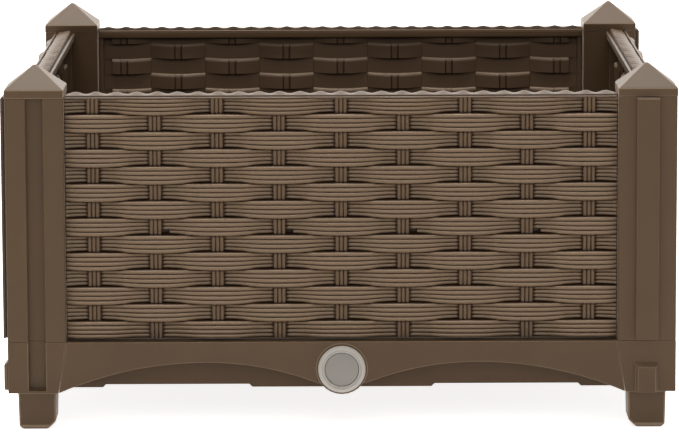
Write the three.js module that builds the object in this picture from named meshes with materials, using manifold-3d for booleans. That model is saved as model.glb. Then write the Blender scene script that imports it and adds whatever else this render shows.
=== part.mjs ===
// A raised square planter that clips together from moulded plastic pieces: four corner posts with caps,
// four woven-look wall panels, four arched skirts, corner blocks and feet, a water tray with a drain plug,
// and a lift-out grate that keeps the soil above the water.
//
// Millimetres, +Z up. The origin is on the ground under the middle of the planter, and the front, which
// carries the drain plug, faces -Y. Every corner and every side is the front-left one turned about Z.

import * as THREE from "three";
import { mergeVertices } from "three/addons/utils/BufferGeometryUtils.js";
import Module from "manifold-3d";

const wasm = await Module();
wasm.setup();

// ---- Driving dimensions ----------------------------------------------------------------------------

const SIDE = 400; // between the outer faces of opposite posts
const HALF = SIDE / 2;
const GAP = 0.3; // left between pieces that touch
const WALL = 2; // thickness of a moulded wall

// Levels above the ground
const FOOT_TOP = 23;
const BLOCK_BOTTOM = FOOT_TOP + GAP;
const BASE_TOP = 54.2; // top of the corner blocks, the skirts and the tray
const POST_BOTTOM = BASE_TOP + GAP;
const POST_TOP = 201;
const CAP_BOTTOM = POST_TOP + GAP;
const CAP_EAVES = 206.7; // where the cap's pyramid begins
const CAP_TIP = 219.8;

// Corner posts
const POST = 35; // width of a post, square
const POST_CENTRE = HALF - POST / 2;
const CORE = 20; // width of the hollow down its middle
const EDGE_ROUND = 0.9;

// The T-slot in one outer face of a post, and the T-rail on the other, which slides into a neighbour's slot
const SLOT_MOUTH = 10;
const SLOT_LIP = 1.5;
const SLOT_LIP_ROUND = 1.2;
const SLOT_WIDTH = 14.8;
const SLOT_DEPTH = 5;
const RAIL_NECK = 9.2;
const RAIL_HEAD = 13.6;
const RAIL_HEAD_DEPTH = 1.5;
const RAIL_PROUD = 3.3;
const RAIL_INSET = 0.5; // kept back from the post's lower end
const RAIL_TOP_INSET = 0.2;
const RAIL_TIP_SLOPE = 1;
const CLIP_TIP_SLOPE = 2;

// The groove in each inner side of a post, which holds the tongue of a panel
const TONGUE = 4;
const TONGUE_LENGTH = 4.4;
const GROOVE_DEPTH = 4.8;
const PANEL_MIDDLE = 187.5; // distance of a panel's middle plane from the planter's middle

// Caps
const CAP = 35.4; // width, square
const CAP_SHOULDER = 0.6; // bevel along the eaves
const CAP_TIP_WIDTH = 1.8; // the tip is worn blunt

// Spigots that join a post to its block and a cap to its post
const SPIGOT = 19.2;
const SPIGOT_HOLLOW = 15.2;
const SPIGOT_LENGTH = 8;

// Corner blocks and feet
const BLOCK_TAPER = 5; // how much narrower a block is at the bottom, on its two inner sides
const BLOCK_SLOT_BOTTOM = 24.8;
const CLIP_TOP = 40.3;
const CLIP_BEVEL = 1.6;
const SOCKET = 14.6; // square hole under the block, for the foot's peg
const SOCKET_TOP = 31.3;
const FOOT_CENTRE = 183.1; // a little further out than the post's
const FOOT_WIDE = 23;
const FOOT_NARROW = 22;
const FOOT_PEG = 14;
const FOOT_OUTER_CHAMFER = 2;
const FOOT_INNER_CHAMFER = 5;

// Skirts
const SKIRT_THICKNESS = 3;
const SKIRT_FLANGE = 2.7;
const ARCH_FOOT_X = HALF - POST + BLOCK_TAPER; // where an arch springs from the corner block
const ARCH_CROWN_X = 81.5;
const ARCH_CROWN_Z = 41.8;
const ARCH_LOBE_X = 14.2; // where an arch meets the round lobe in the middle
const ARCH_LOBE_Z = 28.9;
const ARCH_STEPS = 16;

// Drain: the round lobe of the skirt, the tray's spout, the plug and its seal
const DRAIN_Z = 37.7;
const LOBE_RADIUS = 15.4;
const BOSS_PROUD = 0.5;
const BOSS_HOLE = 12.8;
const SPOUT_RADIUS = 12.4;
const SPOUT_BORE = 9.4;
const SPOUT_END = HALF - 1;
const PLUG_SHANK = 9;
const PLUG_RADIUS = 14.2;
const PLUG_BEVEL_RADIUS = 12.6;
const PLUG_DISC_RADIUS = 10;
const PLUG_FACE = HALF + 3.2;
const PLUG_BACK = HALF + 0.9;
const ROUND_STEPS = 28;

// Water tray
const TRAY_HALF = 186;
const TRAY_BOTTOM = 24.2;
const TRAY_FLOOR_UNDER = 26;
const TRAY_FLOOR = 28;
const TRAY_STEP_INNER = 54; // the tray's lower edge is raised between these two distances from the middle
const TRAY_STEP_OUTER = 144;
const PILLAR_AT = 88;
const PILLAR_RADIUS = 8;

// Soil grate
const GRATE_HALF = 179;
const GRATE_NOTCH = 162;
const GRATE_BOTTOM = 49;
const GRATE_TOP = 51.5;
const GRATE_HOLES = 8; // in each direction
const GRATE_PITCH = 38;
const GRATE_HOLE = 7;

// Panels
const PANEL_HALF = 164.4;
const PANEL_ROWS = 14;
const PANEL_STAKES = 9;
const STAKE_PITCH = 37;
const WEAVE_TOP = 201;
const OVER_OUT = 8.2; // depths from the panel's middle plane, outwards positive
const OVER_IN = 2.2;
const UNDER_OUT = 3.6;
const UNDER_IN = -3.4;
const END_OUT = 6;
const RIM_BOTTOM = 195.5;
const RIM_TOP = 203.3;
const RIM_OUT = 3.1;
const RIM_IN = -7.3;
const END_FRAME = 2.7;

// ---- Solids ----------------------------------------------------------------------------------------

function solidFrom(geometry) {
  const bare = geometry.clone();
  bare.deleteAttribute("normal");
  bare.deleteAttribute("uv");
  const merged = mergeVertices(bare);
  return new wasm.Manifold(new wasm.Mesh({
    numProp: 3,
    vertProperties: Float32Array.from(merged.attributes.position.array),
    triVerts: Uint32Array.from(merged.index.array),
  }));
}

function geometryFrom(solid) {
  const mesh = solid.getMesh();
  const geometry = new THREE.BufferGeometry();
  geometry.setAttribute("position", new THREE.BufferAttribute(Float32Array.from(mesh.vertProperties), 3));
  geometry.setIndex(Array.from(mesh.triVerts));
  geometry.computeVertexNormals();
  return geometry;
}

function shapeFrom(points) {
  return new THREE.Shape(points.map(([x, y]) => new THREE.Vector2(x, y)));
}

// A plan outline carried straight up from one height to another
function upright(shape, bottom, top) {
  const geometry = new THREE.ExtrudeGeometry(shape, { depth: top - bottom, bevelEnabled: false });
  geometry.translate(0, 0, bottom);
  return solidFrom(geometry);
}

// A front view (x, z) carried along Y, and a side view (y, z) carried along X
function alongY(shape, nearY, farY) {
  const geometry = new THREE.ExtrudeGeometry(shape, { depth: farY - nearY, bevelEnabled: false });
  geometry.rotateX(Math.PI / 2);
  geometry.translate(0, farY, 0);
  return solidFrom(geometry);
}

function alongX(shape, nearX, farX) {
  const geometry = new THREE.ExtrudeGeometry(shape, { depth: farX - nearX, bevelEnabled: false });
  geometry.rotateX(Math.PI / 2);
  geometry.rotateZ(Math.PI / 2);
  geometry.translate(nearX, 0, 0);
  return solidFrom(geometry);
}

function block(low, high) {
  const geometry = new THREE.BoxGeometry(high[0] - low[0], high[1] - low[1], high[2] - low[2]);
  geometry.translate((low[0] + high[0]) / 2, (low[1] + high[1]) / 2, (low[2] + high[2]) / 2);
  return solidFrom(geometry);
}

// A square bar standing on the centre line of the front-left corner
function cornerBar(width, bottom, top) {
  const near = -POST_CENTRE - width / 2;
  const far = -POST_CENTRE + width / 2;
  return block([near, near, bottom], [far, far, top]);
}

// A round piece whose axis is the drain's, from a profile of [radius, distance in front of the middle]
function drainRound(profile) {
  const points = profile.map(([radius, front]) => new THREE.Vector2(radius, front));
  const geometry = new THREE.LatheGeometry(points, ROUND_STEPS);
  geometry.rotateX(Math.PI);
  geometry.translate(0, 0, DRAIN_Z);
  return solidFrom(geometry);
}

function drainRod(radius, back, front) {
  const geometry = new THREE.CylinderGeometry(radius, radius, front - back, ROUND_STEPS);
  geometry.translate(0, -(front + back) / 2, DRAIN_Z);
  return solidFrom(geometry);
}

// ---- Corner pieces, drawn for the front-left corner ---------------------------------------------------

// The slot is in the front face (-Y) and the rail on the left face (-X)
function slotOutline() {
  const face = -HALF;
  const lip = face + SLOT_LIP;
  const floor = face + SLOT_DEPTH;
  const mouth = SLOT_MOUTH / 2;
  const flare = mouth + SLOT_LIP_ROUND;
  const inner = SLOT_WIDTH / 2;
  const shape = new THREE.Shape();
  shape.moveTo(-POST_CENTRE - flare, face - 1);
  shape.lineTo(-POST_CENTRE + flare, face - 1);
  shape.lineTo(-POST_CENTRE + flare, face);
  shape.quadraticCurveTo(-POST_CENTRE + mouth, face, -POST_CENTRE + mouth, face + SLOT_LIP_ROUND);
  shape.lineTo(-POST_CENTRE + mouth, lip);
  shape.lineTo(-POST_CENTRE + inner, lip);
  shape.lineTo(-POST_CENTRE + inner, floor);
  shape.lineTo(-POST_CENTRE - inner, floor);
  shape.lineTo(-POST_CENTRE - inner, lip);
  shape.lineTo(-POST_CENTRE - mouth, lip);
  shape.lineTo(-POST_CENTRE - mouth, face + SLOT_LIP_ROUND);
  shape.quadraticCurveTo(-POST_CENTRE - mouth, face, -POST_CENTRE - flare, face);
  return shape;
}

function slot(bottom, top) {
  const geometry = new THREE.ExtrudeGeometry(slotOutline(), {
    depth: top - bottom,
    bevelEnabled: false,
    curveSegments: 3,
  });
  geometry.translate(0, 0, bottom);
  return solidFrom(geometry);
}

function roundedPost() {
  const outer = -HALF;
  const inner = -HALF + POST;
  const shape = new THREE.Shape();
  shape.moveTo(outer + EDGE_ROUND, outer);
  shape.lineTo(inner - EDGE_ROUND, outer);
  shape.absarc(inner - EDGE_ROUND, outer + EDGE_ROUND, EDGE_ROUND, -Math.PI / 2, 0, false);
  shape.lineTo(inner, inner - EDGE_ROUND);
  shape.absarc(inner - EDGE_ROUND, inner - EDGE_ROUND, EDGE_ROUND, 0, Math.PI / 2, false);
  shape.lineTo(outer + EDGE_ROUND, inner);
  shape.absarc(outer + EDGE_ROUND, inner - EDGE_ROUND, EDGE_ROUND, Math.PI / 2, Math.PI, false);
  shape.lineTo(outer, outer + EDGE_ROUND);
  shape.absarc(outer + EDGE_ROUND, outer + EDGE_ROUND, EDGE_ROUND, Math.PI, Math.PI * 1.5, false);
  return shape;
}

function rail() {
  const face = -HALF;
  const head = face - RAIL_PROUD + RAIL_HEAD_DEPTH;
  const front = face - RAIL_PROUD;
  const root = face + 1;
  const bottom = POST_BOTTOM + RAIL_INSET;
  const top = POST_TOP - RAIL_TOP_INSET;
  const section = shapeFrom([
    [root, -POST_CENTRE - RAIL_NECK / 2],
    [root, -POST_CENTRE + RAIL_NECK / 2],
    [head, -POST_CENTRE + RAIL_NECK / 2],
    [head, -POST_CENTRE + RAIL_HEAD / 2],
    [front + EDGE_ROUND / 2, -POST_CENTRE + RAIL_HEAD / 2],
    [front, -POST_CENTRE + RAIL_HEAD / 2 - EDGE_ROUND / 2],
    [front, -POST_CENTRE - RAIL_HEAD / 2 + EDGE_ROUND / 2],
    [front + EDGE_ROUND / 2, -POST_CENTRE - RAIL_HEAD / 2],
    [head, -POST_CENTRE - RAIL_HEAD / 2],
    [head, -POST_CENTRE - RAIL_NECK / 2],
  ]);
  const side = shapeFrom([
    [root, bottom],
    [root, top],
    [front + RAIL_TIP_SLOPE, top],
    [front, top - RAIL_TIP_SLOPE],
    [front, bottom],
  ]);
  return upright(section, bottom, top).intersect(alongY(side, -HALF, -HALF + POST));
}

function postSolid() {
  const side = -HALF + POST;
  const groove = TONGUE / 2 + GAP;
  const forFrontPanel = block(
    [side - GROOVE_DEPTH, -PANEL_MIDDLE - groove, POST_BOTTOM - 1],
    [side + 1, -PANEL_MIDDLE + groove, POST_TOP + 1],
  );
  const forLeftPanel = block(
    [-PANEL_MIDDLE - groove, side - GROOVE_DEPTH, POST_BOTTOM - 1],
    [-PANEL_MIDDLE + groove, side + 1, POST_TOP + 1],
  );
  const geometry = new THREE.ExtrudeGeometry(roundedPost(), {
    depth: POST_TOP - POST_BOTTOM,
    bevelEnabled: false,
    curveSegments: 3,
  });
  geometry.translate(0, 0, POST_BOTTOM);
  return solidFrom(geometry)
    .subtract(slot(POST_BOTTOM - 1, POST_TOP + 1))
    .subtract(cornerBar(CORE, POST_BOTTOM - 1, POST_TOP + 1))
    .subtract(forFrontPanel)
    .subtract(forLeftPanel)
    .add(rail());
}

// A four-sided block on the corner's centre line that narrows as it rises
function cornerFrustum(bottomWidth, topWidth, bottom, top) {
  const topRadius = topWidth * Math.SQRT1_2;
  const bottomRadius = bottomWidth * Math.SQRT1_2;
  const geometry = new THREE.CylinderGeometry(
    topRadius, bottomRadius, top - bottom, 4, 1, false, Math.PI / 4,
  );
  geometry.rotateX(Math.PI / 2);
  geometry.translate(-POST_CENTRE, -POST_CENTRE, (bottom + top) / 2);
  return solidFrom(geometry);
}

function capSolid() {
  const shoulderWidth = CAP - 2 * CAP_SHOULDER;
  const shoulderBottom = CAP_EAVES - CAP_SHOULDER;
  return cornerBar(CAP, CAP_BOTTOM, shoulderBottom)
    .add(cornerFrustum(CAP, shoulderWidth, shoulderBottom, CAP_EAVES))
    .add(cornerFrustum(shoulderWidth, CAP_TIP_WIDTH, CAP_EAVES, CAP_TIP))
    .add(cornerBar(SPIGOT, POST_TOP - SPIGOT_LENGTH, CAP_BOTTOM + 1));
}

// Two inner sides of the block lean outwards as they go down, which leaves a slanting seam at the skirts
function blockProfile() {
  const inner = -HALF + POST;
  return shapeFrom([
    [-HALF, BLOCK_BOTTOM],
    [inner - BLOCK_TAPER, BLOCK_BOTTOM],
    [inner, BASE_TOP],
    [-HALF, BASE_TOP],
  ]);
}

function clip() {
  const face = -HALF;
  const front = face - RAIL_PROUD;
  const half = RAIL_HEAD / 2;
  const section = shapeFrom([
    [face + 1, -POST_CENTRE - half],
    [face + 1, -POST_CENTRE + half],
    [front + CLIP_BEVEL, -POST_CENTRE + half],
    [front, -POST_CENTRE + half - CLIP_BEVEL],
    [front, -POST_CENTRE - half + CLIP_BEVEL],
    [front + CLIP_BEVEL, -POST_CENTRE - half],
  ]);
  const side = shapeFrom([
    [face + 1, BLOCK_BOTTOM],
    [face + 1, CLIP_TOP],
    [front + CLIP_TIP_SLOPE, CLIP_TOP],
    [front, CLIP_TOP - CLIP_TIP_SLOPE],
    [front, BLOCK_BOTTOM],
  ]);
  return upright(section, BLOCK_BOTTOM, CLIP_TOP).intersect(alongY(side, -HALF, -HALF + POST));
}

function cornerBlockSolid() {
  const profile = blockProfile();
  return alongY(profile, -HALF, -HALF + POST)
    .intersect(alongX(profile, -HALF, -HALF + POST))
    .add(cornerBar(SPIGOT, BASE_TOP - 1, BASE_TOP + SPIGOT_LENGTH))
    .subtract(cornerBar(SPIGOT_HOLLOW, SOCKET_TOP + WALL, BASE_TOP + SPIGOT_LENGTH + 1))
    .subtract(cornerBar(SOCKET, BLOCK_BOTTOM - 1, SOCKET_TOP))
    .subtract(slot(BLOCK_SLOT_BOTTOM, BASE_TOP + 1))
    .add(clip());
}

function footSolid() {
  const top = FOOT_WIDE / 2;
  const bottom = FOOT_NARROW / 2;
  const profile = shapeFrom([
    [-FOOT_CENTRE - bottom + FOOT_OUTER_CHAMFER, 0],
    [-FOOT_CENTRE + bottom - FOOT_INNER_CHAMFER, 0],
    [-FOOT_CENTRE + bottom, FOOT_INNER_CHAMFER],
    [-FOOT_CENTRE + top, FOOT_TOP],
    [-FOOT_CENTRE - top, FOOT_TOP],
    [-FOOT_CENTRE - bottom, FOOT_OUTER_CHAMFER],
  ]);
  return alongY(profile, -HALF, -HALF + POST)
    .intersect(alongX(profile, -HALF, -HALF + POST))
    .add(cornerBar(FOOT_PEG, FOOT_TOP - 1, SOCKET_TOP - 1));
}

// ---- Sides, drawn for the front -----------------------------------------------------------------------

// Each arch is two arcs that share a level crown: a long one to the corner and a short one to the lobe
function archArc(endX, endZ) {
  const run = Math.abs(endX - ARCH_CROWN_X);
  const drop = ARCH_CROWN_Z - endZ;
  const radius = (run * run + drop * drop) / (2 * drop);
  const points = [];
  for (let step = 0; step <= ARCH_STEPS; step += 1) {
    const x = ARCH_CROWN_X + (endX - ARCH_CROWN_X) * (step / ARCH_STEPS);
    const sideways = x - ARCH_CROWN_X;
    points.push([x, ARCH_CROWN_Z - radius + Math.sqrt(radius * radius - sideways * sideways)]);
  }
  return points;
}

function skirtProfile() {
  const endTop = HALF - POST - GAP;
  const towardsCorner = archArc(ARCH_FOOT_X - GAP, BLOCK_BOTTOM);
  const towardsLobe = archArc(ARCH_LOBE_X, ARCH_LOBE_Z);
  const rightHalf = [[endTop, BASE_TOP], ...towardsCorner.reverse(), ...towardsLobe.slice(1)];
  const leftHalf = rightHalf.map(([x, z]) => [-x, z]).reverse();
  return shapeFrom([...rightHalf, ...leftHalf].reverse());
}

function skirtSolid(hasDrain) {
  const back = -HALF + SKIRT_THICKNESS;
  const flange = block(
    [-(HALF - POST - GAP), back - 1, BASE_TOP - SKIRT_FLANGE],
    [HALF - POST - GAP, -TRAY_HALF - GAP, BASE_TOP],
  );
  const body = alongY(skirtProfile(), -HALF, back)
    .add(flange)
    .add(drainRod(LOBE_RADIUS, HALF - SKIRT_THICKNESS, HALF + BOSS_PROUD));
  if (hasDrain) return body.subtract(drainRod(BOSS_HOLE, HALF - 10, HALF + 10));
  return body.subtract(drainRod(BOSS_HOLE, HALF, HALF + 10));
}

function weaveLevels() {
  const pitch = (WEAVE_TOP - POST_BOTTOM) / PANEL_ROWS;
  const levels = [POST_BOTTOM];
  for (let row = 0; row < PANEL_ROWS; row += 1) levels.push(POST_BOTTOM + pitch * (row + 0.5));
  levels.push(WEAVE_TOP);
  return levels;
}

function stakePlaces() {
  const places = [-PANEL_HALF];
  const middle = (PANEL_STAKES - 1) / 2;
  for (let stake = 0; stake < PANEL_STAKES; stake += 1) places.push((stake - middle) * STAKE_PITCH);
  places.push(PANEL_HALF);
  return places;
}

// The weave's bands pass in front of every second stake, and the next row swaps them
function weaveDepth(column, row, outside) {
  const atEnd = column === 0 || column === PANEL_STAKES + 1;
  if (atEnd) return outside ? END_OUT : UNDER_IN;
  const bandInFront = (column + row) % 2 === 0;
  if (bandInFront) return outside ? OVER_OUT : OVER_IN;
  return outside ? UNDER_OUT : UNDER_IN;
}

function panelSolid() {
  const levels = weaveLevels();
  const places = stakePlaces();
  const columns = places.length - 1;
  const rows = levels.length - 1;
  const weave = new THREE.BoxGeometry(columns, 2, rows, columns, 1, rows);
  const position = weave.attributes.position;
  for (let index = 0; index < position.count; index += 1) {
    const column = Math.round(position.getX(index) + columns / 2);
    const row = Math.round(position.getZ(index) + rows / 2);
    const outside = position.getY(index) < 0;
    const depth = weaveDepth(column, row, outside);
    position.setXYZ(index, places[column], -PANEL_MIDDLE - depth, levels[row]);
  }
  const rim = block(
    [-PANEL_HALF, -PANEL_MIDDLE - RIM_OUT, RIM_BOTTOM],
    [PANEL_HALF, -PANEL_MIDDLE - RIM_IN, RIM_TOP],
  );
  const tongueTip = PANEL_HALF + TONGUE_LENGTH;
  const tongue = block(
    [-tongueTip, -PANEL_MIDDLE - TONGUE / 2, POST_BOTTOM],
    [tongueTip, -PANEL_MIDDLE + TONGUE / 2, POST_TOP - GAP],
  );
  const middleCut = block(
    [-PANEL_HALF + END_FRAME, -PANEL_MIDDLE - END_OUT, POST_BOTTOM - 1],
    [PANEL_HALF - END_FRAME, -PANEL_MIDDLE - RIM_IN, RIM_TOP + 1],
  );
  return solidFrom(weave).add(rim).add(tongue.subtract(middleCut));
}

// ---- Tray, grate and drain ----------------------------------------------------------------------------

// A square whose corners are cut away square, to clear the corner blocks and posts
function notchedSquare(half, notch) {
  return shapeFrom([
    [-half, -notch], [-notch, -notch], [-notch, -half],
    [notch, -half], [notch, -notch], [half, -notch],
    [half, notch], [notch, notch], [notch, half],
    [-notch, half], [-notch, notch], [-half, notch],
  ]);
}

function traySteps() {
  const rise = TRAY_FLOOR_UNDER - TRAY_BOTTOM;
  const steps = [];
  for (const side of [-1, 1]) {
    const outline = shapeFrom([
      [side * (TRAY_STEP_INNER - 1), TRAY_BOTTOM - 1],
      [side * (TRAY_STEP_OUTER + 1), TRAY_BOTTOM - 1],
      [side * (TRAY_STEP_OUTER - rise), TRAY_FLOOR_UNDER],
      [side * (TRAY_STEP_INNER + rise), TRAY_FLOOR_UNDER],
    ]);
    steps.push(alongY(outline, -HALF, HALF));
    steps.push(alongX(outline, -HALF, HALF));
  }
  return steps;
}

function trayPillars() {
  const bottom = TRAY_FLOOR - 0.5;
  const top = GRATE_BOTTOM - GAP;
  const pillars = [];
  for (const x of [-PILLAR_AT, PILLAR_AT]) {
    for (const y of [-PILLAR_AT, PILLAR_AT]) {
      const geometry = new THREE.CylinderGeometry(PILLAR_RADIUS - 1.5, PILLAR_RADIUS, top - bottom, 16);
      geometry.rotateX(Math.PI / 2);
      geometry.translate(x, y, (top + bottom) / 2);
      pillars.push(solidFrom(geometry));
    }
  }
  return pillars;
}

function traySolid() {
  const notch = HALF - POST - GAP;
  const inside = notchedSquare(TRAY_HALF - WALL, notch - WALL);
  let tray = upright(notchedSquare(TRAY_HALF, notch), TRAY_BOTTOM, BASE_TOP)
    .subtract(upright(inside, TRAY_FLOOR, BASE_TOP + 1))
    .subtract(upright(inside, TRAY_BOTTOM - 1, TRAY_FLOOR_UNDER));
  for (const step of traySteps()) tray = tray.subtract(step);
  for (const pillar of trayPillars()) tray = tray.add(pillar);
  return tray
    .add(drainRod(SPOUT_RADIUS, TRAY_HALF - 1, SPOUT_END))
    .subtract(drainRod(SPOUT_BORE, TRAY_HALF - 10, SPOUT_END + 10));
}

function grateSolid() {
  let grate = upright(notchedSquare(GRATE_HALF, GRATE_NOTCH), GRATE_BOTTOM, GRATE_TOP);
  const half = GRATE_HOLE / 2;
  for (let column = 0; column < GRATE_HOLES; column += 1) {
    for (let row = 0; row < GRATE_HOLES; row += 1) {
      const x = (column - (GRATE_HOLES - 1) / 2) * GRATE_PITCH;
      const y = (row - (GRATE_HOLES - 1) / 2) * GRATE_PITCH;
      const hole = block([x - half, y - half, GRATE_BOTTOM - 1], [x + half, y + half, GRATE_TOP + 1]);
      grate = grate.subtract(hole);
    }
  }
  return grate;
}

function plugSolid() {
  const rim = HALF + 1.8;
  const groove = PLUG_FACE - 1.1;
  const shankEnd = TRAY_HALF - WALL;
  return drainRound([
    [0, PLUG_BACK + 0.6],
    [PLUG_SHANK - WALL, PLUG_BACK + 0.6],
    [PLUG_SHANK - WALL, shankEnd],
    [PLUG_SHANK, shankEnd],
    [PLUG_SHANK, PLUG_BACK],
    [PLUG_RADIUS, PLUG_BACK],
    [PLUG_RADIUS, rim],
    [PLUG_BEVEL_RADIUS, PLUG_FACE],
    [PLUG_DISC_RADIUS + 0.5, PLUG_FACE],
    [PLUG_DISC_RADIUS, groove],
    [0, groove],
  ]);
}

function sealSolid() {
  const inner = PLUG_SHANK + GAP;
  const outer = SPOUT_RADIUS - 0.2;
  const back = SPOUT_END + GAP;
  const front = PLUG_BACK - GAP;
  return drainRound([
    [inner, back], [outer, back], [outer, front], [inner, front], [inner, back],
  ]);
}

// ---- Assembly -------------------------------------------------------------------------------------------

const materials = {
  moulded: () => new THREE.MeshStandardMaterial({ color: 0x5f4e3c, roughness: 0.5, metalness: 0 }),
  woven: () => new THREE.MeshStandardMaterial({ color: 0x6f5f50, roughness: 0.55, metalness: 0 }),
  tray: () => new THREE.MeshStandardMaterial({ color: 0x4b3a2a, roughness: 0.6, metalness: 0 }),
  plug: () => new THREE.MeshStandardMaterial({ color: 0x9a958d, roughness: 0.45, metalness: 0 }),
  rubber: () => new THREE.MeshStandardMaterial({ color: 0x1c1a18, roughness: 0.8, metalness: 0 }),
};

function part(name, solid, material, turns = 0) {
  const mesh = new THREE.Mesh(geometryFrom(solid), materials[material]());
  mesh.name = name;
  mesh.rotation.z = turns * Math.PI / 2;
  return mesh;
}

const planter = new THREE.Group();
const corners = ["front_left", "front_right", "back_right", "back_left"];
const sides = ["front", "right", "back", "left"];

corners.forEach((corner, turns) => {
  planter.add(part(`foot_${corner}`, footSolid(), "moulded", turns));
  planter.add(part(`corner_block_${corner}`, cornerBlockSolid(), "moulded", turns));
  planter.add(part(`post_${corner}`, postSolid(), "moulded", turns));
  planter.add(part(`cap_${corner}`, capSolid(), "moulded", turns));
});

sides.forEach((side, turns) => {
  planter.add(part(`skirt_${side}`, skirtSolid(side === "front"), "moulded", turns));
  planter.add(part(`panel_${side}`, panelSolid(), "woven", turns));
});

planter.add(part("tray", traySolid(), "tray"));
planter.add(part("soil_grate", grateSolid(), "tray"));
planter.add(part("drain_plug", plugSolid(), "plug"));
planter.add(part("plug_seal", sealSolid(), "rubber"));

export default planter;
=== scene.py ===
"""Looks for the raised planter: woven-look panels, rounded mouldings, plastics, floor, light and camera.

Shapes are worked out in millimetres and written to Blender in metres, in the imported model's own frame:
+Z up, the origin on the ground under the middle, the front towards -Y.
"""

import math

import bmesh
import bpy
import numpy as np
from mathutils import Matrix, Vector


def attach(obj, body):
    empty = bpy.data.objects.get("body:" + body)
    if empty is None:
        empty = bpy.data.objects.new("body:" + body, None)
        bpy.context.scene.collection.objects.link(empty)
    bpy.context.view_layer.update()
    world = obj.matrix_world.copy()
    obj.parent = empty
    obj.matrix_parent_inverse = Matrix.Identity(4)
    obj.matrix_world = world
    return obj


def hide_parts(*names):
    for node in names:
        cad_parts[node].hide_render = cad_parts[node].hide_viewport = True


MM = 0.001
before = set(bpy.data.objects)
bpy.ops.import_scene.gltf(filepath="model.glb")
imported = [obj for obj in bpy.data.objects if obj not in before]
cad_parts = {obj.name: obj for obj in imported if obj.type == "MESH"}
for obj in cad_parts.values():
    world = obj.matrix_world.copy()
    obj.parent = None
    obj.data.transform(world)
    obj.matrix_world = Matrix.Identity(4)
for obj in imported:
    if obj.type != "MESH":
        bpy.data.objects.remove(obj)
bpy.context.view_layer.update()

CORNERS = ("front_left", "front_right", "back_right", "back_left")
SIDES = ("front", "right", "back", "left")

# ---- Panel sizes, in millimetres -------------------------------------------------------------------

PANEL_MIDDLE = 187.5  # a panel's middle plane, out from the planter's middle; depths are outwards from it
STAKES = 9
STAKE_PITCH = 37.0
STAKE_REEDS = 3
STAKE_WIDTH = 7.3
STAKE_CREST = 6.1
STAKE_GROOVE = 1.3
ON_STAKE = STAKE_WIDTH / 2 + 0.01  # half width of a stake, with its outermost points

ROWS = 14
ROW_REEDS = 4
WEAVE_TOP = 201.0
WEAVE_BOTTOM = 55.4
ROW_PITCH = (WEAVE_TOP - WEAVE_BOTTOM) / ROWS
BAND_OUT = 8.2  # crest of a band where it passes in front of a stake
BAND_IN = 3.3  # crest where it goes behind one
REED_GROOVE = 1.45
ROW_SWELL = 0.5  # how far a band in front pushes its edges into the rows above and below
ROW_STEP = 0.12  # half the height of the step between two rows
TOP_ROW_DROP = 0.8  # the top row ends this far below the others' place, under the ledge

# Where the cross-sections of a reed are taken, as shares of its half width from its lower edge up, and how
# high it stands there. A band's reeds stand highest below their middle
REED_PLACES = (-1.0, -0.84, -0.4, 0.3, 0.62, 1.0)
REED_HEIGHTS = (0.0, 0.60, 1.0, 0.96, 0.80, 0.0)
STAKE_REED_HEIGHTS = (0.0, 0.68, 0.96, 0.98, 0.86, 0.0)
REED_SHINE = (0.0, 0.0, 0.0, 0.2, 1.0, 0.0)  # painted highlight: how pale the reed is painted at each of these places

# Distances from a stake's middle to the cross-sections between two stakes. The pits end between 8 and 8.3
BETWEEN_STAKES = (3.95, 5.6, 8.0, 8.3, 10.6, 13.0, 15.6, 18.4)
PANEL_HALF = 164.4
FRAME_EDGE = 161.7  # where the frame at the panel's end begins
FRAME_STEP = 0.2  # half the length of the step up to that frame
TONGUE_LENGTH = 4.4  # the tongue that slides into the post's groove
TONGUE = 4
TONGUE_TOP = 200.7
PANEL_FOOT = 54.8
FOOT_OUT = 3.0
PIT_ROW = 8  # this row, counted from the top, has a small pit beside every second stake
PIT_REACH = 8.25
PIT_DEPTH = -1.5

# Inner side and rim
BLOCK_END_IN = -0.5
BLOCK_BULGE = 2.4  # further in at a block's middle than at its ends
LAST_BLOCK_END = 156.2  # how far the blocks reach towards the frame at the panel's end
NOTCH_HALF = 2.5
NOTCH_DEPTH = 1.2
RECESS_IN = 0.2
RECESS_HOLLOW = 0.5
BLOCK_ROUND = 0.6  # rounding along a block's upper edge
CRESCENT = 2.4  # height of the painted shadow, a crescent under a block
INNER_LINES = 4  # lines along the panel in each row of its inner side
INNER_RAISE = 1.2  # the inner rows lie a little higher than the outer ones
BLOCK_DROOP = 0.8  # how far a block's edges hang at its middle
FRAME_IN = -5.2
RIM_FACE = -7.3
RIM_FACE_BOTTOM = 195.6
SCALLOPS = 27
STRIP_EDGE = 201.9  # the scalloped strip's straight front edge
SCALLOP_HEIGHT = 1.4
STRIP_OUT = 3.9
STRIP_WIDTH = 8.5
LEDGE_OUT = 6.4  # least depth of the ledge along the top, over the stakes
LIP_OUT = -5.95  # the inner lip lies further in than this

# Painted shade on each part of a panel, from 0 to 1. A groove gets as much painted shade as it lies behind
# the skin around it
PAINTED_SHADE_REACH = 0.95  # how far up and down the skin shades a point
PAINTED_SHADE_SIDE_REACH = 0.5
PAINTED_SHADE_DEPTH = 1.6  # grooves this deep get the full painted shade
STAKE_SHADE = 0.2
RIM_SHADE = 0.42
LIP_SHADE = 0.7
BLOCK_SHADE = 0.3
RECESS_SHADE = 0.2
NOTCH_SHADE = 0.9

# Painted highlight along the upper edges of the inner blocks, from 0 to 1. The top rows lie in the rim's
# shadow and get less
BLOCK_SHINE = 0.9
TOP_BLOCK_SHINE = 0.15
TOP_BLOCK_ROWS = 2

# ---- Drain plug, in millimetres ------------------------------------------------------------------------

DRAIN_Z = 37.7
PLUG_FACE = 203.2  # out from the planter's middle
PLUG_RADIUS = 14.2
PLUG_SHANK = 9
TRAY_FACE = 186
WALL = 2
PLUG_STEPS = 96
DISC_SHADE = 0.5  # how much darker the middle disc is, from 0 to 1

# ---- Soil grate, in millimetres ------------------------------------------------------------------------

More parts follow.
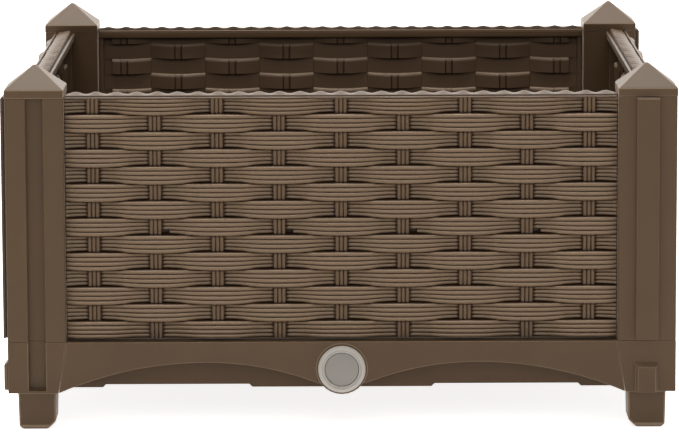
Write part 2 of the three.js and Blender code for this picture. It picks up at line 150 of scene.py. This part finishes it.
GRATE_HALF = 179
GRATE_NOTCH = 162
GRATE_BOTTOM = 49
GRATE_TOP = 51.5
GRATE_HOLES = 8
HOLE_PITCH = 38
HOLE = 7

# ---- Materials ---------------------------------------------------------------------------------------

GRAIN = 0.08  # strength of the spark-eroded grain
GLOSS_SPREAD = 0.05  # how far the roughness strays either way


def moulded_plastic(name, colour, roughness, mottle=0.06, sheen=0.12):
    """A satin moulding: faintly uneven colour, slow changes of gloss and a fine spark-eroded grain."""
    material = bpy.data.materials.new(name)
    material.use_nodes = True
    nodes, links = material.node_tree.nodes, material.node_tree.links
    shader = nodes["Principled BSDF"]
    place = nodes.new("ShaderNodeTexCoord")

    cloud = nodes.new("ShaderNodeTexNoise")
    cloud.inputs["Scale"].default_value = 22
    cloud.inputs["Detail"].default_value = 5
    links.new(place.outputs["Object"], cloud.inputs["Vector"])
    shades = nodes.new("ShaderNodeValToRGB")
    shades.color_ramp.elements[0].position = 0.3
    shades.color_ramp.elements[1].position = 0.7
    shades.color_ramp.elements[0].color = (*[c * (1 - mottle) for c in colour], 1)
    shades.color_ramp.elements[1].color = (*[c * (1 + mottle) for c in colour], 1)
    links.new(cloud.outputs["Fac"], shades.inputs["Fac"])
    links.new(shades.outputs["Color"], shader.inputs["Base Color"])

    gloss = nodes.new("ShaderNodeMapRange")
    gloss.inputs["To Min"].default_value = roughness - GLOSS_SPREAD
    gloss.inputs["To Max"].default_value = roughness + GLOSS_SPREAD
    links.new(cloud.outputs["Fac"], gloss.inputs["Value"])
    links.new(gloss.outputs["Result"], shader.inputs["Roughness"])

    pits = nodes.new("ShaderNodeTexNoise")
    pits.inputs["Scale"].default_value = 1900
    pits.inputs["Detail"].default_value = 2
    links.new(place.outputs["Object"], pits.inputs["Vector"])
    bump = nodes.new("ShaderNodeBump")
    bump.inputs["Strength"].default_value = GRAIN
    bump.inputs["Distance"].default_value = 0.0003
    links.new(pits.outputs["Fac"], bump.inputs["Height"])
    links.new(bump.outputs["Normal"], shader.inputs["Normal"])
    shader.inputs["Specular IOR Level"].default_value = 0.2
    shader.inputs["Sheen Weight"].default_value = sheen
    shader.inputs["Sheen Roughness"].default_value = 0.2
    shader.inputs["Sheen Tint"].default_value = (1.0, 0.86, 0.74, 1)
    return material


def tint_by(material, attribute_name, colour):
    """Blends a second colour in, as far as the named values on the mesh say. Mix nodes keep a set of sockets
    for each kind of value, so the ones for colours go by number."""
    first_colour, second_colour, mixed_colour = 6, 7, 2
    nodes, links = material.node_tree.nodes, material.node_tree.links
    base = nodes["Principled BSDF"].inputs["Base Color"]
    values = nodes.new("ShaderNodeAttribute")
    values.attribute_name = attribute_name
    mix = nodes.new("ShaderNodeMix")
    mix.data_type = "RGBA"
    links.new(values.outputs["Fac"], mix.inputs["Factor"])
    links.new(base.links[0].from_socket, mix.inputs[first_colour])
    mix.inputs[second_colour].default_value = (*colour, 1)
    links.new(mix.outputs[mixed_colour], base)


MOULDED = moulded_plastic("brown_moulding", (0.0535, 0.0302, 0.0135), 0.42, sheen=0.15)
# Painted highlight on the mouldings' rounded edges, where light catches them
tint_by(MOULDED, "edge", (0.135, 0.093, 0.058))
WOVEN = moulded_plastic("brown_weave", (0.089, 0.0555, 0.0310), 0.42, sheen=0.05)
# Painted highlight along the upper edges of the reeds and of the inner blocks
tint_by(WOVEN, "edge", (0.31, 0.235, 0.173))
# Painted shade in the weave's grooves, over the stakes, on the rim and on the inner side
tint_by(WOVEN, "painted_shade", (0.022, 0.009, 0.003))
# A darker copy of the brown moulding for the tray and grate: painted shade, as the tray lies in the aprons'
# shade
TRAY = moulded_plastic("tray_painted_shade", (0.047, 0.0245, 0.0105), 0.5)
GREY = moulded_plastic("grey_plug", (0.290, 0.275, 0.255), 0.42, mottle=0.02)
# Painted shade in the plug's ring grooves and at its step; the middle disc is darker too
tint_by(GREY, "painted_shade", (0.05, 0.045, 0.04))
RUBBER = moulded_plastic("black_seal", (0.015, 0.014, 0.013), 0.7)

# ---- Mesh helpers --------------------------------------------------------------------------------------


def add_piece(name, mesh, material, body, slot, *replaced):
    piece = bpy.data.objects.new(name, mesh)
    bpy.context.scene.collection.objects.link(piece)
    mesh.materials.clear()
    mesh.materials.append(material)
    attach(piece, body)
    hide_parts(*replaced)
    return piece


def smooth(mesh, angle):
    """Smooth shading, broken where two faces meet at more than this many degrees."""
    mesh.polygons.foreach_set("use_smooth", [True] * len(mesh.polygons))
    mesh.set_sharp_from_angle(angle=math.radians(angle))


def quarter_turn(mesh, turns):
    """A copy of a mesh drawn for the front or the front-left corner, turned to another side."""
    turned = mesh.copy()
    turned.transform(Matrix.Rotation(turns * math.pi / 2, 4, "Z"))
    return turned


# ---- Woven panels ----------------------------------------------------------------------------------------


def stake_places():
    middle = (STAKES - 1) / 2
    return [(stake - middle) * STAKE_PITCH for stake in range(STAKES)]


def panel_columns():
    """Where the panel's cross-sections stand along its length: three reeds of each stake, then the gap."""
    reed_half = STAKE_WIDTH / STAKE_REEDS / 2
    stake_lines = []
    for reed in range(STAKE_REEDS):
        middle = (reed - (STAKE_REEDS - 1) / 2) * 2 * reed_half
        stake_lines += [middle + place * reed_half for place in REED_PLACES[:-1]]
    stake_lines.append(STAKE_WIDTH / 2)
    columns = []
    for stake in stake_places():
        columns += [stake - offset for offset in reversed(BETWEEN_STAKES)]
        columns += [stake + line for line in stake_lines]
        columns += [stake + offset for offset in BETWEEN_STAKES]
    columns = [x for x in columns if abs(x) < FRAME_EDGE - 2 * FRAME_STEP]
    end = [FRAME_EDGE - FRAME_STEP, FRAME_EDGE + FRAME_STEP, PANEL_HALF]
    return np.array([-x for x in reversed(end)] + columns + end)


def nearest_stake(x):
    """The number of the nearest stake, counted from 1, and how far each place is from its middle."""
    first = stake_places()[0]
    number = np.clip(np.round((x - first) / STAKE_PITCH), 0, STAKES - 1)
    return number.astype(int) + 1, x - (first + number * STAKE_PITCH)


def in_front(row, x):
    """1 where this row's band passes in front of a stake, -1 where it goes behind, between them a wave."""
    return (-1) ** row * np.cos(math.pi * (x - stake_places()[0]) / STAKE_PITCH)


def row_edge(edge, x, swell):
    """Height of the edge under this many rows. A band in front pushes its edges outwards."""
    level = WEAVE_TOP - edge * ROW_PITCH
    if edge in (0, ROWS):
        return np.full_like(x, level)
    return level - swell * in_front(edge, x)


def band_crest(row, x):
    lean = np.sin(in_front(row, x) * math.pi / 2)
    return (BAND_OUT + BAND_IN) / 2 + lean * (BAND_OUT - BAND_IN) / 2


def stake_relief(offset):
    """Depth of the three round reeds of a stake across its width."""
    reed_half = STAKE_WIDTH / STAKE_REEDS / 2
    share = (offset + STAKE_WIDTH / 2) / (2 * reed_half)
    within = (share - np.floor(np.clip(share, 0, STAKE_REEDS - 1e-6))) * 2 - 1
    return STAKE_CREST - STAKE_GROOVE * (1 - np.interp(within, REED_PLACES, STAKE_REED_HEIGHTS))


def outer_lines(x):
    """The outer side from the bottom up: for every line along the panel, its heights and depths."""
    stake, offset = nearest_stake(x)
    lines = []
    for row in range(ROWS, 0, -1):
        low = row_edge(row, x, ROW_SWELL) + ROW_STEP
        high = row_edge(row - 1, x, ROW_SWELL) - ROW_STEP
        if row == 1:
            high = high - TOP_ROW_DROP
        crest = band_crest(row, x)
        stake_shows = (np.abs(offset) <= ON_STAKE) & ((row + stake) % 2 == 0)
        beside_stake = (offset > STAKE_WIDTH / 2) & (offset < PIT_REACH)
        pit = (stake % 2 == 0) & (row == PIT_ROW) & beside_stake
        for reed in range(ROW_REEDS):
            for place, height in list(zip(REED_PLACES, REED_HEIGHTS))[(1 if reed else 0):]:
                share = (reed + (place + 1) / 2) / ROW_REEDS
                depth = crest - REED_GROOVE * (1 - height)
                depth = np.where(stake_shows, stake_relief(offset), depth)
                if reed == 0:
                    depth = np.where(pit, PIT_DEPTH, depth)
                lines.append((low + (high - low) * share, depth))
    return lines


def painted_shade(x, heights, depths):
    """Painted shade, from 0 on the crests to 1 deep in the grooves: how far each point lies behind the skin
    around it.
    """
    level = heights.mean(axis=1)
    hidden = np.zeros_like(depths)
    for line in range(len(depths)):
        near = np.abs(level - level[line]) < PAINTED_SHADE_REACH
        hidden[line] = depths[near].max(axis=0) - depths[line]
    for column in range(len(x)):
        near = np.abs(x - x[column]) < PAINTED_SHADE_SIDE_REACH
        beside = depths[:, near].max(axis=1) - depths[:, column]
        hidden[:, column] = np.maximum(hidden[:, column], beside)
    return np.clip(hidden / PAINTED_SHADE_DEPTH, 0, 1)


def rim_lines(x):
    """Over the top, from outside to inside: ledge, groove, scalloped strip, groove, lip and rim face."""
    ledge = np.maximum(band_crest(1, x) - 0.1, LEDGE_OUT)
    along = (x - x[0]) / (x[-1] - x[0])
    wave = np.sin(math.pi * SCALLOPS * along) ** 2
    flat = np.ones_like(x)
    lines = [
        (flat * (WEAVE_TOP - 0.85), ledge - 0.35),
        (flat * (WEAVE_TOP - 0.5), ledge),
        (flat * (WEAVE_TOP - 0.2), ledge - 0.15),
        (flat * (WEAVE_TOP + 0.05), ledge - 0.6),
        (flat * (WEAVE_TOP + 0.1), np.minimum(ledge - 1.2, 5.0)),
        (flat * (WEAVE_TOP - 1.6), flat * 4.5),
        (flat * (WEAVE_TOP - 1.6), flat * 3.6),
        (flat * (STRIP_EDGE - 0.2), flat * 3.3),
    ]
    for share in (0.12, 0.3, 0.5, 0.7, 0.88, 1.0):
        rise = share * share * (3 - 2 * share)
        lines.append((STRIP_EDGE + SCALLOP_HEIGHT * wave * rise, flat * (STRIP_OUT - STRIP_WIDTH * share)))
    lines += [
        (STRIP_EDGE - 0.4 + SCALLOP_HEIGHT * wave * 0.8, flat * -4.9),
        (flat * (WEAVE_TOP - 1.2), flat * -5.0),
        (flat * (WEAVE_TOP - 1.2), flat * -5.9),
        (flat * (WEAVE_TOP - 0.1), flat * -6.1),
        (flat * (WEAVE_TOP - 0.1), flat * -6.9),
        (flat * (WEAVE_TOP - 0.4), flat * RIM_FACE),
        (flat * (WEAVE_TOP - 0.6), flat * RIM_FACE),
        (flat * (RIM_FACE_BOTTOM + 3.2), flat * RIM_FACE),
        (flat * (RIM_FACE_BOTTOM + 3.0), flat * (RIM_FACE + 0.3)),
        (flat * (RIM_FACE_BOTTOM + 0.4), flat * (RIM_FACE + 0.3)),
        (flat * RIM_FACE_BOTTOM, flat * (RIM_FACE + 0.7)),
    ]
    return lines


def has_block(row, x):
    """Where a row bulges inwards: behind every stake that its band goes behind."""
    stake, _ = nearest_stake(x)
    return ((row + stake) % 2 == 0) & (np.abs(x) < LAST_BLOCK_END)


def inner_lines(x):
    """The inner side from the top down, with four lines in each row."""
    _, offset = nearest_stake(x)
    end_frame = np.abs(x) > FRAME_EDGE
    arch = np.cos(math.pi * offset / STAKE_PITCH)
    lines = []
    for row in range(1, ROWS + 1):
        block = has_block(row, x)
        crest = BLOCK_END_IN - BLOCK_BULGE * arch
        crest = crest + np.where(np.abs(offset) < NOTCH_HALF, NOTCH_DEPTH, 0)
        depth = np.where(block, crest, RECESS_IN + RECESS_HOLLOW * arch)
        depth = np.where(end_frame, FRAME_IN, depth)
        high = np.full_like(x, WEAVE_TOP + INNER_RAISE - (row - 1) * ROW_PITCH) - ROW_STEP
        low = np.full_like(x, WEAVE_TOP + INNER_RAISE - row * ROW_PITCH) + ROW_STEP
        high = high - BLOCK_DROOP * arch
        if row < ROWS:
            low = low - BLOCK_DROOP * arch
        if row == 1:
            high = np.full_like(x, RIM_FACE_BOTTOM)
        round_off = np.where(block, BLOCK_ROUND, 0.0)
        lines.append((high, depth + round_off))
        lines.append((high - BLOCK_ROUND, depth))
        lines.append((high - CRESCENT, depth))
        lines.append((low, depth))
    return lines


def panel_shades(x, heights, depths):
    """Point by point, the painted shade in the skin's grooves, recesses and rim, and the painted highlight
    along its upper edges.
    """
    outer = len(outer_lines(x))
    inner = outer + len(rim_lines(x))
    _, offset = nearest_stake(x)
    shaded = np.zeros_like(depths)
    pale = np.zeros_like(depths)

    # Painted shade in the outer grooves, and a little over the stakes
    on_stake = (np.abs(offset) <= ON_STAKE) & (depths[:outer] <= STAKE_CREST)
    shaded[:outer] = painted_shade(x, heights[:outer], depths[:outer])
    shaded[:outer] = np.where(on_stake, np.maximum(shaded[:outer], STAKE_SHADE), shaded[:outer])
    # Painted highlight along the reeds' upper edges, none on the stakes
    row_shine = np.array(REED_SHINE + REED_SHINE[1:] * (ROW_REEDS - 1))
    pale[:outer] = np.where(on_stake, 0.0, np.tile(row_shine, ROWS)[:, None])

    # Painted shade on the rim: full in its grooves, strong on the lip, less on the ledge and strip, none on
    # the face
    rim = depths[outer:inner]
    in_groove = heights[outer:inner] < WEAVE_TOP - 1.1
    on_lip = rim < LIP_OUT
    on_face = rim < RIM_FACE + 0.35
    shaded[outer:inner] = np.select([on_face, in_groove, on_lip], [0.0, 1.0, LIP_SHADE], RIM_SHADE)

    # Inside: a painted highlight along each block's upper edge, a painted shadow in a crescent under the
    # block above each recess, and painted shade over the rest, strongest at a notch's edges
    arch = np.cos(math.pi * offset / STAKE_PITCH)
    notch_edge = (np.abs(offset) > NOTCH_HALF - 1) & (np.abs(offset) < NOTCH_HALF)
    block_shade = np.where(notch_edge, NOTCH_SHADE, BLOCK_SHADE)
    for row in range(1, ROWS + 1):
        upper = inner + INNER_LINES * (row - 1)
        block = has_block(row, x)
        shine = TOP_BLOCK_SHINE if row <= TOP_BLOCK_ROWS else BLOCK_SHINE
        pale[upper] = np.where(block, shine, 0.0)
        pale[upper + 1] = np.where(block, shine / 2, 0.0)
        shaded[upper:upper + 2] = np.where(block, 0.0, arch)
        shaded[upper + 2:upper + INNER_LINES] = np.where(block, block_shade, RECESS_SHADE)
    return shaded, pale


def tongue_boxes(first_index):
    """The corners and faces of the tongue at each end, numbered on from the skin's own points."""
    points = []
    faces = []
    for side in (-1, 1):
        start = first_index + len(points)
        for x in sorted((side * PANEL_HALF, side * (PANEL_HALF + TONGUE_LENGTH))):
            for depth in (-TONGUE / 2, TONGUE / 2):
                for z in (PANEL_FOOT, TONGUE_TOP):
                    points.append((x, -PANEL_MIDDLE - depth, z))
        for corners in ((0, 2, 3, 1), (4, 5, 7, 6), (0, 1, 5, 4), (2, 6, 7, 3), (0, 4, 6, 2), (1, 3, 7, 5)):
            faces.append(tuple(start + corner for corner in corners))
    return np.array(points), faces


def panel_mesh():
    """One closed skin: every line runs the length of the panel, and together they go round it."""
    x = panel_columns()
    flat = np.ones_like(x)
    foot = [
        (flat * PANEL_FOOT, flat * RECESS_IN),
        (flat * PANEL_FOOT, flat * FOOT_OUT),
        (flat * WEAVE_BOTTOM, flat * FOOT_OUT),
    ]
    lines = outer_lines(x) + rim_lines(x) + inner_lines(x) + foot
    heights = np.array([line[0] for line in lines])
    depths = np.array([line[1] for line in lines])
    count, width = heights.shape
    tongue_points, tongue_faces = tongue_boxes(heights.size)
    points = np.stack([np.broadcast_to(x, heights.shape), -PANEL_MIDDLE - depths, heights], axis=-1)
    points = np.concatenate([points.reshape(-1, 3), tongue_points])
    here = np.arange(count)[:, None] * width + np.arange(width - 1)[None, :]
    above = ((np.arange(count) + 1) % count)[:, None] * width + np.arange(width - 1)[None, :]
    quads = np.stack([here, here + 1, above + 1, above], axis=-1).reshape(-1, 4)
    left_end = [row * width for row in range(count)]
    right_end = [row * width + width - 1 for row in reversed(range(count))]
    mesh = bpy.data.meshes.new("panel")
    mesh.from_pydata(points * MM, [], [*quads.tolist(), left_end, right_end, *tongue_faces])
    no_shade = np.zeros(len(tongue_points))
    # The painted shade and the painted highlight go on the mesh point by point
    for name, values in zip(("painted_shade", "edge"), panel_shades(x, heights, depths)):
        values = np.concatenate([values.ravel(), no_shade])
        mesh.attributes.new(name, "FLOAT", "POINT").data.foreach_set("value", values)
    smooth(mesh, 50)
    return mesh


def add_panels():
    master = panel_mesh()
    for turns, side in enumerate(SIDES):
        mesh = quarter_turn(master, turns)
        add_piece(f"panel_{side}_weave", mesh, WOVEN, "frame", "woven_brown", f"panel_{side}")
    bpy.data.meshes.remove(master)


# ---- Mouldings ---------------------------------------------------------------------------------------

FLAT_ANGLE = math.radians(0.6)  # facets closer in angle than this are merged
SHARP_ANGLE = math.radians(28)  # edges sharper than this are rounded


def rounded_copy(node, radius, segments, material, body, slot):
    """The CAD piece with its flat facets merged and its edges rounded, the rounded faces marked for a
    painted highlight.
    Concave faces are split first, as black wedges showed on a post when they weren't."""
    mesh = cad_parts[node].data.copy()
    shape = bmesh.new()
    shape.from_mesh(mesh)
    painted_highlight_values = shape.faces.layers.float.new("edge")
    bmesh.ops.remove_doubles(shape, verts=shape.verts, dist=0.01 * MM)
    bmesh.ops.dissolve_limit(shape, angle_limit=FLAT_ANGLE, verts=shape.verts, edges=shape.edges)
    bmesh.ops.connect_verts_concave(shape, faces=shape.faces[:])
    edges = [edge for edge in shape.edges if edge.calc_face_angle(0) > SHARP_ANGLE]
    rounded = bmesh.ops.bevel(
        shape, geom=edges, offset=radius * MM, segments=segments, profile=0.5,
        affect="EDGES", clamp_overlap=True,
    )
    # The rounded faces get the painted highlight
    for face in rounded["faces"]:
        face[painted_highlight_values] = 1.0
    shape.to_mesh(mesh)
    shape.free()
    if "custom_normal" in mesh.attributes:
        mesh.attributes.remove(mesh.attributes["custom_normal"])
    smooth(mesh, 40)
    piece = add_piece(f"{node}_moulding", mesh, material, body, slot, node)
    normals = piece.modifiers.new("flat_faces", "WEIGHTED_NORMAL")
    normals.keep_sharp = True
    return piece


def plug_profile():
    """Round the plug's section from its hollow back to its face: radius, distance out, and darkness, which
    is painted shade in the ring grooves and at the step, and a darker middle disc.
    """
    back = PLUG_FACE - 2.3
    hollow = TRAY_FACE - WALL
    points = [
        (0.4, back + 0.6, 0), (PLUG_SHANK - WALL, back + 0.6, 0), (PLUG_SHANK - WALL, hollow, 0),
        (PLUG_SHANK, hollow, 0), (PLUG_SHANK, back, 0), (PLUG_RADIUS - 0.3, back, 0),
        (PLUG_RADIUS, back + 0.3, 0), (PLUG_RADIUS, back + 0.9, 0), (PLUG_RADIUS - 0.3, back + 1.3, 0),
        (12.7, PLUG_FACE - 0.15, 0), (12.4, PLUG_FACE, 0),
    ]
    for ring in (11.75, 11.15):
        points += [
            (ring + 0.16, PLUG_FACE, 0), (ring, PLUG_FACE - 0.2, 0.5), (ring - 0.16, PLUG_FACE, 0),
        ]
    points += [
        (10.55, PLUG_FACE, 0), (10.4, PLUG_FACE - 0.15, 0.1), (10.3, PLUG_FACE - 0.8, 0.9),
        (10.05, PLUG_FACE - 0.8, 0.9), (9.95, PLUG_FACE - 0.45, DISC_SHADE),
        (9.7, PLUG_FACE - 0.35, DISC_SHADE), (0.4, PLUG_FACE - 0.35, DISC_SHADE),
    ]
    return points


def plug_mesh():
    """The plug's section turned about the drain's axis, which runs front to back."""
    profile = plug_profile()
    turns = np.linspace(0, 2 * math.pi, PLUG_STEPS, endpoint=False)
    points = []
    for radius, out, _ in profile:
        ring_x = radius * np.cos(turns)
        ring_z = DRAIN_Z + radius * np.sin(turns)
        points.append(np.stack([ring_x, np.full_like(turns, -out), ring_z], axis=-1))
    faces = []
    for ring in range(len(profile) - 1):
        for step in range(PLUG_STEPS):
            after = (step + 1) % PLUG_STEPS
            low, high = ring * PLUG_STEPS, (ring + 1) * PLUG_STEPS
            faces.append((low + step, high + step, high + after, low + after))
    first = list(range(PLUG_STEPS))
    last = [(len(profile) - 1) * PLUG_STEPS + step for step in reversed(first)]
    mesh = bpy.data.meshes.new("plug")
    mesh.from_pydata(np.concatenate(points) * MM, [], [*faces, first, last])
    # The painted shade, ring by ring
    darkness = np.repeat([shade for _, _, shade in profile], PLUG_STEPS)
    mesh.attributes.new("painted_shade", "FLOAT", "POINT").data.foreach_set("value", darkness)
    smooth(mesh, 30)
    return mesh


def hole_places():
    middle = (GRATE_HOLES - 1) / 2
    return [(hole - middle) * HOLE_PITCH for hole in range(GRATE_HOLES)]


def grate_mesh():
    """A flat plate with rows of square holes and its corners cut away, built on a grid of quads."""
    cuts = [-GRATE_HALF, -GRATE_NOTCH]
    for hole in hole_places():
        cuts += [hole - HOLE / 2, hole + HOLE / 2]
    cuts += [GRATE_NOTCH, GRATE_HALF]
    shape = bmesh.new()
    corners = {}
    for column, x in enumerate(cuts):
        for row, y in enumerate(cuts):
            corners[column, row] = shape.verts.new((x * MM, y * MM, GRATE_BOTTOM * MM))
    last = len(cuts) - 2
    for column in range(last + 1):
        for row in range(last + 1):
            is_hole = column % 2 == 0 and row % 2 == 0 and 0 < column < last and 0 < row < last
            is_notch = column in (0, last) and row in (0, last)
            if not is_hole and not is_notch:
                shape.faces.new([
                    corners[column, row], corners[column + 1, row],
                    corners[column + 1, row + 1], corners[column, row + 1],
                ])
    lift = Vector((0, 0, (GRATE_TOP - GRATE_BOTTOM) * MM))
    raised = bmesh.ops.extrude_face_region(shape, geom=shape.faces[:])
    upper = [piece for piece in raised["geom"] if isinstance(piece, bmesh.types.BMVert)]
    bmesh.ops.translate(shape, vec=lift, verts=upper)
    bmesh.ops.delete(shape, geom=[v for v in shape.verts if not v.link_faces], context="VERTS")
    bmesh.ops.recalc_face_normals(shape, faces=shape.faces)
    edges = [edge for edge in shape.edges if edge.calc_face_angle(0) > math.radians(60)]
    bmesh.ops.bevel(shape, geom=edges, offset=0.4 * MM, segments=2, profile=0.5, affect="EDGES")
    mesh = bpy.data.meshes.new("grate")
    shape.to_mesh(mesh)
    shape.free()
    smooth(mesh, 40)
    return mesh


def add_mouldings():
    for corner in CORNERS:
        rounded_copy(f"post_{corner}", 0.5, 2, MOULDED, "frame", "moulded_brown")
        rounded_copy(f"corner_block_{corner}", 0.35, 2, MOULDED, "frame", "moulded_brown")
        rounded_copy(f"foot_{corner}", 1.0, 3, MOULDED, "frame", "moulded_brown")
        rounded_copy(f"cap_{corner}", 0.35, 2, MOULDED, f"cap_{corner}", "moulded_brown")
    for side in SIDES:
        rounded_copy(f"skirt_{side}", 0.25, 2, MOULDED, "frame", "moulded_brown")
    rounded_copy("tray", 0.4, 2, TRAY, "frame", "tray_brown")
    add_piece("soil_grate_plate", grate_mesh(), TRAY, "grate", "tray_brown", "soil_grate")
    add_piece("drain_plug_turned", plug_mesh(), GREY, "plug", "plug_grey", "drain_plug")
    rounded_copy("plug_seal", 0.3, 2, RUBBER, "plug", "seal_black")


# ---- Floor, light and camera, in metres and watts ------------------------------------------------------

FLOOR_HALF = 12.0
FLOOR_DROP = 0.0002  # keeps the floor just clear of the feet
FLOOR_GLOW = 0.82
WALL_GLOW = 0.66
WALL_TOP = 0.24  # the sine of the height at which the pale walls start to fade
WALL_FADE = 0.3
CEILING_GLOW = 0.22

LAMP_COLOUR = (1.0, 0.955, 0.9)
LAMPS = (  # name, place, what it points at, width and power
    ("overhead", (-0.15, 0.2, 1.9), (0, 0, 0.1), 1.6, 76),
    ("behind", (0.0, 2.6, 0.8), (0, 0, 0.2), 2.0, 25),
    ("front", (0.0, -3.9, 2.3), (0, 0, 0.1), 2.2, 60),
)

CAMERA_PLACE = (-0.0011, -2.7051, 0.5106)
CAMERA_LENS = 225.5  # millimetres, over a sensor 36 mm wide
CAMERA_TILT = math.radians(8.66)  # downwards
CAMERA_ROLL = math.radians(-0.21)


def add_floor():
    mesh = bpy.data.meshes.new("floor")
    signs = ((-1, -1), (1, -1), (1, 1), (-1, 1))
    corners = [(along * FLOOR_HALF, across * FLOOR_HALF, 0) for along, across in signs]
    mesh.from_pydata(corners, [], [(0, 1, 2, 3)])
    floor = bpy.data.objects.new("floor", mesh)
    floor.location.z = -FLOOR_DROP
    bpy.context.scene.collection.objects.link(floor)
    pale = bpy.data.materials.new("pale_floor")
    pale.use_nodes = True
    shader = pale.node_tree.nodes["Principled BSDF"]
    shader.inputs["Base Color"].default_value = (0.86, 0.86, 0.85, 1)
    shader.inputs["Roughness"].default_value = 0.9
    shader.inputs["Emission Color"].default_value = (1, 1, 1, 1)
    shader.inputs["Emission Strength"].default_value = FLOOR_GLOW
    mesh.materials.append(pale)


def add_light(name, place, aim, size, power):
    data = bpy.data.lights.new(name, "AREA")
    data.shape = "SQUARE"
    data.size = size
    data.energy = power
    data.color = LAMP_COLOUR
    light = bpy.data.objects.new(name, data)
    light.location = place
    light.rotation_euler = (Vector(aim) - Vector(place)).to_track_quat("-Z", "Y").to_euler()
    bpy.context.scene.collection.objects.link(light)


def add_world():
    """Pale walls low down all round, and a dimmer ceiling."""
    world = bpy.data.worlds.new("studio")
    world.use_nodes = True
    nodes, links = world.node_tree.nodes, world.node_tree.links
    place = nodes.new("ShaderNodeTexCoord")
    axes = nodes.new("ShaderNodeSeparateXYZ")
    links.new(place.outputs["Generated"], axes.inputs["Vector"])
    fall = nodes.new("ShaderNodeMapRange")
    fall.interpolation_type = "SMOOTHSTEP"
    fall.inputs["From Min"].default_value = WALL_TOP
    fall.inputs["From Max"].default_value = WALL_TOP + WALL_FADE
    fall.inputs["To Min"].default_value = WALL_GLOW
    fall.inputs["To Max"].default_value = CEILING_GLOW
    links.new(axes.outputs["Z"], fall.inputs["Value"])
    links.new(fall.outputs["Result"], nodes["Background"].inputs["Strength"])
    nodes["Background"].inputs["Color"].default_value = (1.0, 0.98, 0.95, 1)
    bpy.context.scene.world = world


def add_camera():
    """A long lens well in front and a little above."""
    data = bpy.data.cameras.new("camera")
    data.sensor_width = 36
    data.lens = CAMERA_LENS
    data.clip_end = 50
    camera = bpy.data.objects.new("camera", data)
    aim = Matrix.Rotation(math.pi / 2 - CAMERA_TILT, 4, "X")
    roll = Matrix.Rotation(CAMERA_ROLL, 4, "Z")
    camera.matrix_world = Matrix.Translation(CAMERA_PLACE) @ aim @ roll
    bpy.context.scene.collection.objects.link(camera)
    bpy.context.scene.camera = camera
    bpy.context.scene.view_settings.view_transform = "Standard"


add_panels()
add_mouldings()
add_floor()
add_world()
for lamp in LAMPS:
    add_light(*lamp)
add_camera()
